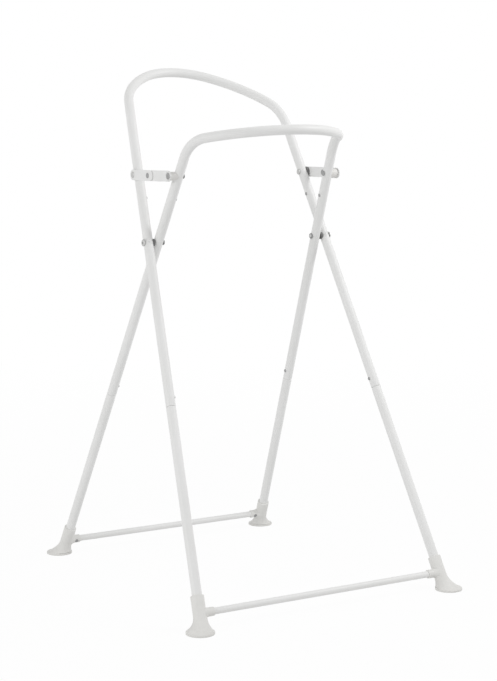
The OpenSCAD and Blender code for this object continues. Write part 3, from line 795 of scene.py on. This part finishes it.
screw = {
    "at": 19.0,             # from the leg's axis, inwards along the crossbar
    "seat": 7.0,            # of the head's under side, from the crossbar's axis
    "radius": 1.8,
    "tip": 2.0,             # of its tip and of the tip's bevel, from the crossbar's axis
    "tipEnd": 3.2,
    "tipRadius": 0.9,
    "head": 3.5,
    "height": 2.2,
    "rim": 0.7,
    "room": 0.3,            # round the head in its seat
    "depth": 12.0,          # of the crossbar's cutter, from its axis
    "reach": 20.0,          # and of the foot's two
    "recess": 1.3,          # depth of the cross below the head's top
    "slotFoot": 0.55,       # half diagonals of a slot's square stump, before it is stretched
    "slotMouth": 0.9,
    "slotTop": 3.0,
    "slotLong": 2.6,        # how much it is stretched one way, and narrowed the other
    "slotNarrow": 0.7,
    "slotStep": 0.04,       # the second slot is deeper, so that no two faces coincide
}


# A foot's skin from below the base to the sleeve's mouth, as rings. In the trumpet a ring's centre
# and radius ease from the base's to the sleeve's with a power of what is left of its height.
def footSurface(side):
    rings = []

    def ring(centre, axes, radius):
        rings.append(placed(revolved([(radius, 0)], around["foot"])[0], centre, axes))

    def baseCentre(height, share):
        shift = np.array([foot["baseSide"], -side["way"] * foot["baseShift"], 0]) * share
        return legPoint(side, level(height)) + shift

    neckRadius = foot["baseRadius"] - foot["rimInset"]
    edge = softCorners([(0, 0), (foot["baseRadius"], 0), (foot["baseRadius"], foot["rim"]),
                        (neckRadius, foot["rim"])], [0, foot["footEdge"], foot["rimEdge"], 0], steps=5)
    for radius, height in edge:
        ring(baseCentre(0, 1) + [0, 0, height], np.eye(3), radius)
    for t in np.linspace(0, 1, foot["slices"])[1:]:
        left = (1 - t) ** foot["flare"]
        height = foot["rim"] + t * (foot["trumpet"] - foot["rim"])
        radius = foot["sleeveRadius"] + (neckRadius - foot["sleeveRadius"]) * left
        ring(baseCentre(height, left), legAxes(side, t), radius)
    top = (level(foot["sleeveTop"]) - level(foot["trumpet"])) / math.cos(math.radians(side["splay"]))
    steps = 6
    lip = softCorners([(foot["sleeveRadius"], 0), (foot["sleeveRadius"], top), (0, top)],
                      [0, foot["lipEdge"], 0], steps=steps)
    for radius, height in lip[steps:]:
        origin = legPoint(side, level(foot["trumpet"]))
        ring(origin + legAxes(side)[:, 2] * height, legAxes(side), radius)
    return np.stack(rings)


# Where the crossbar's axis meets the right leg's
def barPlace(side):
    return legPoint(side, level(crossbar["height"]))


# Side socket along -X: a flared root inside the sleeve, a straight stretch and a soft lip
def socketSurface(side):
    radius, reach, run = foot["socketRadius"], foot["socketReach"], foot["rootRun"]
    x = np.linspace(0, run, foot["rootSteps"] + 1)
    root = np.stack([radius + foot["rootFlare"] * (1 - x / run) ** 2, -foot["rootAt"] - x], axis=-1)
    steps = 5
    mouth = softCorners([root[-1], (radius, -reach), (0, -reach)], [0, foot["mouthEdge"], 0],
                        steps=steps)[steps + 1:]
    profile = np.concatenate([[(0, 0), (radius + foot["rootFlare"], 0)], root, mouth])
    return placed(revolved(profile), barPlace(side), alongX)


# Right screw's place, with z square to the leaning frame and on its under side
def screwPlace(side):
    across = legAxes(dict(side, splay=0))
    axes = [across[:, 0], -across[:, 2] * side["way"], across[:, 1] * side["way"]]
    return barPlace(side) - [screw["at"], 0, 0], np.stack(axes, axis=1)


def makeFoot(side, hand):
    cuts = [
        rod(tubeRadius + fixedGap, 0, foot["boreReach"], legPoint(side, level(lowerLeg["end"])),
            legAxes(side), around["tube"]),
        rod(crossbar["radius"] + fixedGap, -crossbar["reach"], crossbar["room"] - crossbar["inset"],
            barPlace(side), alongX),
        rod(screw["radius"] + fixedGap, 0, screw["reach"], *screwPlace(side)),
        rod(screw["head"] + screw["room"], screw["seat"], screw["reach"], *screwPlace(side)),
    ]
    makePiece(f"{side['word']}_foot_{hand}", [footSurface(side)], sharp["foot"],
              joined=[socketSurface(side)], cuts=cuts)


def makeCrossbar(side):
    end = barPlace(side)
    half = end[0] - crossbar["inset"]
    tube = sleeve(crossbar["radius"] - crossbar["wall"], crossbar["radius"], -half, half,
                  crossbar["edge"], [0, end[1], end[2]])
    hole = rod(screw["radius"] + fixedGap, 0, screw["depth"], *screwPlace(side))
    makePiece(f"{side['word']}_crossbar", [tube], sharp["round"],
              cuts=[[hole, mirrored(hole, sides["left"])]])


# Pan-head screw: turned point, shank and domed head, with a cross recess of two slots
def makeFootScrews(side):
    seat, half = screw["seat"] + fixedGap, 0.7071    # half: sine and cosine of 45 degrees
    cap = [(radius, seat + height)
           for radius, height in dome(screw["head"], screw["height"], screw["rim"])]
    profile = [(0, screw["tip"]), (screw["tipRadius"], screw["tip"]),
               (screw["radius"], screw["tipEnd"]), (screw["radius"], seat), (screw["head"], seat)] + cap
    stump = placed(revolved([(0, 0), (screw["slotFoot"], 0), (screw["slotMouth"], screw["slotTop"]),
                             (0, screw["slotTop"])], 4),
                   (0, 0, seat + screw["height"] - screw["recess"]),
                   [[half, -half, 0], [half, half, 0], [0, 0, 1]])
    place, axes = screwPlace(side)
    body = placed(revolved(profile, around["small"]), place, axes)
    long, narrow = screw["slotLong"], screw["slotNarrow"]
    slots = [placed(stump * [long, narrow, 1], place, axes),
             placed(stump * [narrow, long, 1] - [0, 0, screw["slotStep"]], place, axes)]
    makePiece(f"{side['word']}_foot_screws", [body, mirrored(body, sides["left"])], sharp["screw"],
              cuts=slots + mirrored(slots, sides["left"]))


# Snap button: flange on the leaf spring, shank through both walls and a domed end
def makeButton(side, hand):
    base = button["seat"] + fixedGap
    flange = button["radius"] + button["flange"]
    tip = tubeRadius + button["out"]
    crown = [(button["radius"] * math.cos(a), tip - button["domeHeight"] * (1 - math.sin(a)))
             for a in np.linspace(0, math.pi / 2, button["domeSteps"] + 1)]
    profile = [(0, base), (flange, base), (flange, base + button["flange"]),
               (button["radius"], base + button["flange"])] + crown
    surface = placed(revolved(profile, around["small"]), legPoint(side, buttonLevel(side)),
                     legAxes(side) @ alongX @ towardsInside)
    makePiece(f"{side['word']}_button_{hand}", [surface], sharp["round"])


spring = {
    "width": 5.0,
    "thickness": 0.5,
    "drop": 12.0,            # from the button's axis to the bend's middle
    "farGap": 0.65,          # from the far leg to the neck's bore
    "edge": 0.12,
    "bendSteps": 24,
    "travel": 3.3,           # of the button, as its joint lets it slide
}


# Leaf spring bent like a U. Its middle line runs down the leg that the button sits on, round the
# half circle of the bend and up the far leg, and the strip's section stands square to that line.
def makeSpring(side, hand):
    farSide = tubeBore - lowerLeg["neckGap"] - lowerLeg["neckWall"] - spring["farGap"]
    middle = (farSide - button["seat"]) / 2
    radius = (farSide + button["seat"] - spring["thickness"]) / 2
    turn = np.linspace(0, math.pi, spring["bendSteps"] + 1)
    top = button["radius"] + button["flange"]
    x = np.concatenate([[-radius, -radius], -radius * np.cos(turn), [radius, radius]]) + middle
    z = np.concatenate([[top, top], -spring["drop"] - radius * np.sin(turn), [0, 0]])
    out = np.concatenate([[-1, -1], -np.cos(turn), [1, 1]])
    down = np.concatenate([[0, 0], -np.sin(turn), [0, 0]])
    halves = [spring["thickness"] / 2, spring["width"] / 2]
    section = softCorners(np.array([(1, 1), (1, -1), (-1, -1), (-1, 1)]) * halves, spring["edge"],
                          closed=True)
    share = np.ones((len(x), 1))
    share[[0, -1]] = 0    # both ends close on the middle line
    off, across = share * section[:, 0], share * section[:, 1]
    strip = np.stack([x[:, None] + out[:, None] * off, across, z[:, None] + down[:, None] * off],
                     axis=-1)
    origin, axes = legPoint(side, buttonLevel(side)), legAxes(side)
    piece = makePiece(f"{side['word']}_spring_{hand}", [placed(strip, origin, axes)], sharp["round"])
    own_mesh(piece)


# Small rivet on the inside of each tube: tail in the bore, low dome outside, saddled on the tube
def makeSmallRivets(node, side):
    under, tail = tubeRadius - smallRivet["sink"], tubeBore - smallRivet["tail"]
    cap = dome(smallRivet["headRadius"], smallRivet["sink"] + smallRivet["height"], smallRivet["rim"])
    profile = [(0, tail), (smallRivet["pin"], tail), (smallRivet["pin"], under),
               (smallRivet["headRadius"], under)] + [(radius, under + height) for radius, height in cap]
    rivet = placed(revolved(profile, around["small"]), legPoint(side, smallRivet["up"]),
                   legAxes(side) @ alongX @ towardsInside)
    makePiece(node, [rivet, mirrored(rivet, sides["left"])], sharp["round"])


for side in (outerFrame, innerFrame):
    makeCrossbar(side)
    makeFootScrews(side)
    for hand in sides:
        makeLowerLeg(side, hand)
        makeFoot(side, hand)
        makeButton(side, hand)
        makeSpring(side, hand)
makeSmallRivets("head_bow_rivets", outerFrame)
makeSmallRivets("foot_bow_rivets", innerFrame)
print("legs, feet and crossbars made")

# The three edges are heights with the widest radius at each
nut = {
    "flats": 10.0,
    "height": 2.0,
    "collar": 0.5,
    "collarRadius": 4.5,
    "collarEdge": ((0.0, 4.1), (0.1, 4.35), (0.25, 4.5)),    # up from the far face
    "chamfer": ((0.01, 5.15), (0.2, 5.6), (0.4, 6.2)),       # up from the collar
    "crown": ((0.5, 6.2), (0.2, 5.6), (0.0, 5.2)),           # down from the near face
    "boreEdge": 0.25,
}
hexCorners = 1 / math.cos(math.pi / 6)    # of a hexagon's corner against its flat
boltHeadX = outerFrame["halfWidth"] + flank(outerFrame, pivot["headRadius"]) + fixedGap
nutX = innerFrame["halfWidth"] - flank(innerFrame, nut["flats"] / 2 * hexCorners) - faceGap


# Threaded shank: the radius dips once a turn, as the cosine of the height over the pitch less
# the angle. Then a plain shank and a domed head with a hexagon socket.
def makePivotBolt(hand):
    tip = nutX - nut["height"] - pivot["threadOut"]
    threadEnd = nutX + pivot["threadPast"]
    height = np.concatenate([[tip, tip, tip + pivot["tipLength"]],
                             np.arange(tip + pivot["threadFrom"], threadEnd, pivot["threadStep"])])
    radius = np.concatenate([[0.0, pivot["tipRadius"]], np.full(len(height) - 2, pivot["bolt"])])
    a = 2 * math.pi * np.arange(around["plain"]) / around["plain"]
    dip = 0.5 - 0.5 * np.cos(2 * math.pi * height[:, None] / pivot["threadPitch"] - a)
    fade = np.clip((threadEnd - pivot["threadClear"] - height) / pivot["threadFade"], 0, 1)
    fade *= radius >= pivot["bolt"]
    radius = radius[:, None] - pivot["threadDepth"] * dip * fade[:, None]
    thread = np.stack([height[:, None] + 0 * a, radius * np.cos(a), radius * np.sin(a)], axis=-1)
    cap = [(r, boltHeadX + h) for r, h in dome(pivot["headRadius"], pivot["headHeight"],
                                               pivot["headRim"], pivot["headSteps"])]
    profile = [(pivot["bolt"], boltHeadX), (pivot["headRadius"], boltHeadX)] + cap
    shank = np.concatenate([thread + pivotPlace, placed(revolved(profile), pivotPlace, alongX)])
    bottom = boltHeadX + pivot["headHeight"] - pivot["socketDepth"]
    socket = rod(pivot["hexSocket"] / 2 * hexCorners, bottom, bottom + pivot["socketReach"],
                 pivotPlace, alongX, 6)
    makePiece(f"pivot_bolt_{hand}", [shank], sharp["cut"], cuts=[socket])


# Spacer between the frames: flat towards the inner tube, saddled on the outer one
def makePivotSpacer(hand):
    face = innerFrame["halfWidth"] + flank(innerFrame, pivot["spacerRadius"]) + faceGap
    back = outerFrame["halfWidth"] - flank(outerFrame, 0) + pivot["saddle"]
    spacer = sleeve(pivot["bolt"] + fixedGap, pivot["spacerRadius"], face, back,
                    pivot["spacerEdges"], pivotPlace)
    makePiece(f"pivot_spacer_{hand}", [spacer], sharp["cut"], cuts=[saddleCut(outerFrame, 0)])


# Nut: the smaller of a hexagon's reach and its chamfers' cones, and a round collar on the far side
def makePivotNut(hand):
    tall, collar, edge = nut["height"], nut["collar"], nut["boreEdge"]
    bore = pivot["bolt"] + fixedGap
    count = around["nut"]
    a = 2 * math.pi * np.arange(count) / count
    reach = nut["flats"] / 2 / np.cos((a + math.pi / 6) % (math.pi / 3) - math.pi / 6)
    limits = [*nut["collarEdge"], (collar, nut["collarRadius"]),
              *((collar + h, r) for h, r in nut["chamfer"]), *((tall - h, r) for h, r in nut["crown"])]
    height, limit = np.array(limits).T[:, :, None]
    body = np.minimum(limit, np.where(height > collar, reach, np.inf))
    rows = np.concatenate([np.full((1, count), bore + edge), body, np.full((1, count), bore + edge),
                           np.full((2, count), bore)])
    along = np.concatenate([[0], height[:, 0], [tall, tall - edge, edge]])
    grid = np.stack([along[:, None] + nutX - tall + 0 * a, rows * np.cos(a), rows * np.sin(a)], axis=-1)
    makePiece(f"pivot_nut_{hand}", [(grid + pivotPlace, True)], sharp["nut"])


for hand in sides:
    makePivotBolt(hand)
    makePivotSpacer(hand)
    makePivotNut(hand)
print("pivots made")

link = {
    "edge": 0.95,            # soft radius, and the steps of its curve
    "edgeSteps": 6,
    "faceRows": (0, 3, 6),   # rows on its faces, from its middle segment
    "endSteps": 24,          # steps round an end and along a side
    "sideSteps": 60,
    "holeReach": 12.0,       # of its holes' cutters, both ways
}
washerCrest = legX(outerFrame, stay["up"]) + flank(outerFrame, stay["washerRadius"])
rearLinkX = washerCrest + stay["washerSkirt"]
frontLinkX = rearLinkX - stay["linkThickness"] - faceGap
frontStudX = frontLinkX - stay["crank"]


# Sideways shift of the cranked link's middle line at a distance from the knuckle, and its slope.
# The slope rises and falls over a short soft stretch at both bends, and the shift is its sum.
def crankShift(distance):
    at, run, soft = stay["crankAt"], stay["crankRun"], stay["crankSoft"]

    def ramp(x):
        x = np.clip(x, -soft, soft)
        return (x + soft) ** 2 / (4 * soft)

    def slope(x):
        return np.clip((x + soft) / (2 * soft), 0, 1)

    first, last = distance - at, distance - at - run
    bent = ramp(first) + np.maximum(first - soft, 0) - ramp(last) - np.maximum(last - soft, 0)
    rate = stay["crank"] / run
    return -rate * bent, rate * (slope(first) - slope(last))


# Link with round ends. Rows run from its middle segment outwards over the outer face, round the
# edge and back over the other face; columns go round the segment.
def makeLink(node, side, x0, tail, cranked, knuckleHole, studHole):
    half, corner = stay["linkThickness"] / 2, link["edgeSteps"] + 1
    edge = softCorners([(0, half), (stay["linkRadius"], half), (stay["linkRadius"], -half), (0, -half)],
                       [0, link["edge"], link["edge"], 0], steps=link["edgeSteps"])
    edge = np.concatenate([[(row, half) for row in link["faceRows"]], edge[corner:-corner],
                           [(row, -half) for row in reversed(link["faceRows"])]])
    ends = np.linspace(-math.pi / 2, math.pi / 2, link["endSteps"] + 1)
    span = np.linspace(0, 1, link["sideSteps"] + 1)[1:-1]
    far, near = side["way"] * studY, -side["way"] * tail
    top, low = max(far, near), min(far, near)
    anchor = np.concatenate([0 * ends + top, top + (low - top) * span, 0 * ends + low,
                             low + (top - low) * span])
    ways = np.concatenate([ends, 0 * span + math.pi / 2, ends + math.pi, 0 * span + 3 * math.pi / 2])
    distance, depth = edge.T[:, :, None]
    along = anchor + distance * np.cos(ways)
    shift, rate = crankShift(np.abs(along)) if cranked else (0 * along, 0 * along)
    square = depth / np.sqrt(1 + rate ** 2)
    grid = np.stack([x0 + half + shift + square, along - rate * square,
                     studZ + distance * np.sin(ways)], axis=-1)
    reach = x0 - link["holeReach"], x0 + link["holeReach"]
    makePiece(node, [grid], sharp["cut"], cuts=[[rod(knuckleHole, *reach, knucklePlace, alongX),
                                                 rod(studHole, *reach, studPlace(side), alongX)]])


# Rivet along +X, from the flat end or the dome of its tail to its head's dome. The tail and the
# head are a face's place, a radius and a height each.
def rivetSurface(pin, tail, head, place):
    (tailX, tailRadius, tailHeight), (headX, headRadius, headHeight) = tail, head
    start = [(0, tailX)]
    if tailRadius > pin:
        start = [(r, tailX - h) for r, h in reversed(dome(tailRadius, tailHeight, stay["headRim"]))]
        start += [(tailRadius, tailX)]
    end = [(headRadius, headX)]
    end += [(r, headX + h) for r, h in dome(headRadius, headHeight, stay["headRim"])]
    return placed(revolved(start + [(pin, tailX), (pin, headX)] + end), place, alongX)


def makeStayRivets(hand):
    thick, headRadius, headHeight = stay["linkThickness"], stay["headRadius"], stay["headHeight"]
    tailRadius = headRadius - stay["tailLess"]
    tailX = legX(outerFrame, stay["up"]) - flank(outerFrame, tailRadius) - fixedGap
    rear = rivetSurface(stay["rearPin"], (tailX, tailRadius, stay["tailHeight"]),
                        (rearLinkX + thick + faceGap, headRadius, headHeight), studPlace(outerFrame))
    makePiece(f"stay_rivet_{hand}", [rear], sharp["round"])

    small = headRadius - stay["knuckleLess"]
    knuckle = rivetSurface(stay["pin"], (frontLinkX - faceGap, small, headHeight),
                           (rearLinkX + thick + fixedGap, small, headHeight), knucklePlace)
    makePiece(f"knuckle_rivet_{hand}", [knuckle], sharp["round"])

    front = rivetSurface(stay["pin"], (frontStudX, 0, 0),
                         (frontStudX + thick + fixedGap, headRadius, headHeight * stay["frontShare"]),
                         studPlace(innerFrame))
    makePiece(f"front_rivet_{hand}", [front], sharp["round"])


def makeStay(hand):
    pin, rearPin = stay["pin"], stay["rearPin"]
    makeLink(f"rear_link_{hand}", outerFrame, rearLinkX, stay["tail"], False,
             pin + fixedGap, rearPin + runGap)
    makeLink(f"front_link_{hand}", innerFrame, frontLinkX, 0, True, pin + runGap, pin + fixedGap)

    washer = sleeve(rearPin + fixedGap, stay["washerRadius"], washerCrest - 2 * pivot["saddle"],
                    rearLinkX - faceGap, stay["washerEdges"], studPlace(outerFrame))
    makePiece(f"stay_washer_{hand}", [washer], sharp["cut"], cuts=[saddleCut(outerFrame, stay["up"])])
    makeStayRivets(hand)

    bushX, bushEnd = legX(innerFrame, stay["up"]), frontStudX - stay["openGap"]
    bush = sleeve(pin + fixedGap, stay["bushRadius"], bushX, bushEnd, stay["bushEdges"],
                  studPlace(innerFrame))
    makePiece(f"stay_bush_{hand}", [bush], sharp["cut"], cuts=[saddleCut(innerFrame, stay["up"])])

    headRadius = stay["boltHeadRadius"]
    headX = bushX - flank(innerFrame, headRadius) - fixedGap
    cap = dome(headRadius, stay["headHeight"], stay["boltHeadRim"], stay["boltHeadSteps"])
    profile = [(r, headX - h) for r, h in reversed(cap)] + [(headRadius, headX), (pin, headX),
                                                            (pin, bushEnd), (0, bushEnd)]
    makePiece(f"stay_bolt_{hand}", [placed(revolved(profile), studPlace(innerFrame), alongX)],
              sharp["round"])


for hand in sides:
    makeStay(hand)
print("side stays made")

# Places and sizes in metres, turns in degrees
studio = {
    "cameraPlace": (-1.648, -2.769, 0.866),
    "cameraTurn": 31.077,    # clockwise from +Y, seen from above
    "cameraTilt": -7.25,     # up from the level
    "cameraRoll": 0.126,     # clockwise as the camera looks
    "lens": 89.1,
    "worldLevel": 0.65,      # of the background as light
    "whiteLevel": 1.0,       # and as the camera sees it
    "aim": (0.0, 0.0, 0.5),
    "keyPlace": (1.4, -1.0, 1.9),
    "keySize": (0.9, 0.9),
    "keyPower": 16.0,
    "fillPlace": (-4.5, -0.6, 1.3),
    "fillSize": (2.0, 2.0),
    "fillPower": 42.0,
    "floorReach": 40.0,
    "paper": (0.85, 0.85, 0.85, 1),
    "floorGlow": 0.96,       # share of plain white in the floor out to the near distance,
    "glowNear": 0.7,         # from where it rises
    "glowFar": 3.0,          # to all of it
}


# 1 for what the camera sees, straight, in a reflection or through glass, and 0 for light
def seenNode(tree):
    path = tree.nodes.new("ShaderNodeLightPath")
    mirror = mathNode(tree, "MAXIMUM", path.outputs["Is Glossy Ray"],
                      path.outputs["Is Transmission Ray"])
    return mathNode(tree, "MAXIMUM", path.outputs["Is Camera Ray"], mirror)


# Background that is plain white to the camera and in reflections, and dimmer as light
def makeWorld():
    world = bpy.data.worlds.new("softRoom")
    bpy.context.scene.world = world
    world.use_nodes = True
    tree = world.node_tree
    background = tree.nodes["Background"]
    background.inputs["Color"].default_value = (1, 1, 1, 1)
    strength = rampNode(tree, seenNode(tree), 0, 1, studio["worldLevel"], studio["whiteLevel"])
    tree.links.new(strength, background.inputs["Strength"])


# Floor that the camera and reflections see as almost plain white, and that light finds as paper
def makeFloor():
    reach = studio["floorReach"]
    mesh = bpy.data.meshes.new("studioFloor")
    corners = [(-reach, -reach, 0), (reach, -reach, 0), (reach, reach, 0), (-reach, reach, 0)]
    mesh.from_pydata(corners, [], [(0, 1, 2, 3)])
    floor = bpy.data.objects.new("studioFloor", mesh)
    bpy.context.scene.collection.objects.link(floor)
    paper = bpy.data.materials.new("paleFloor")
    paper.use_nodes = True
    tree = paper.node_tree
    tree.nodes.clear()
    output, mix = tree.nodes.new("ShaderNodeOutputMaterial"), tree.nodes.new("ShaderNodeMixShader")
    diffuse, glow = tree.nodes.new("ShaderNodeBsdfDiffuse"), tree.nodes.new("ShaderNodeEmission")
    diffuse.inputs["Color"].default_value = studio["paper"]
    place, gap = tree.nodes.new("ShaderNodeTexCoord"), tree.nodes.new("ShaderNodeVectorMath")
    gap.operation = "LENGTH"
    tree.links.new(place.outputs["Object"], gap.inputs[0])
    share = rampNode(tree, gap.outputs["Value"], studio["glowNear"], studio["glowFar"],
                     studio["floorGlow"], 1)
    tree.links.new(mathNode(tree, "MULTIPLY", seenNode(tree), share), mix.inputs["Fac"])
    tree.links.new(diffuse.outputs[0], mix.inputs[1])
    tree.links.new(glow.outputs[0], mix.inputs[2])
    tree.links.new(mix.outputs[0], output.inputs["Surface"])
    mesh.materials.append(paper)


# Area lamp at a place, turned so that it shines at the aim. It never shows in a picture itself.
def makeLamp(name, place, aim, size, power):
    lamp = bpy.data.lights.new(name, "AREA")
    lamp.shape = "RECTANGLE"
    lamp.size, lamp.size_y = size
    lamp.energy = power
    lampObject = bpy.data.objects.new(name, lamp)
    bpy.context.scene.collection.objects.link(lampObject)
    ray = np.array(aim, float) - np.array(place, float)
    ray /= np.linalg.norm(ray)
    across = np.cross(ray, (0, 0, 1.0))
    across /= np.linalg.norm(across)
    turn = np.stack([across, np.cross(across, ray), -ray], axis=1)
    lampObject.visible_camera = False
    lampObject.matrix_world = Matrix.Translation(place) @ Matrix(turn.tolist()).to_4x4()


def makeStudio():
    bpy.context.scene.view_settings.view_transform = "Standard"
    camera = bpy.data.cameras.new("camera")
    camera.lens = studio["lens"]
    cameraObject = bpy.data.objects.new("camera", camera)
    cameraObject.location = studio["cameraPlace"]
    turn = Matrix.Rotation(-math.radians(studio["cameraTurn"]), 3, "Z")
    tilt = Matrix.Rotation(math.radians(90 + studio["cameraTilt"]), 3, "X")
    roll = Matrix.Rotation(-math.radians(studio["cameraRoll"]), 3, "Z")
    cameraObject.rotation_euler = (turn @ tilt @ roll).to_euler()
    bpy.context.scene.collection.objects.link(cameraObject)
    bpy.context.scene.camera = cameraObject
    makeWorld()
    makeFloor()
    makeLamp("keyLamp", studio["keyPlace"], studio["aim"], studio["keySize"], studio["keyPower"])
    makeLamp("fillLamp", studio["fillPlace"], studio["aim"], studio["fillSize"], studio["fillPower"])


makeStudio()
print("studio made")
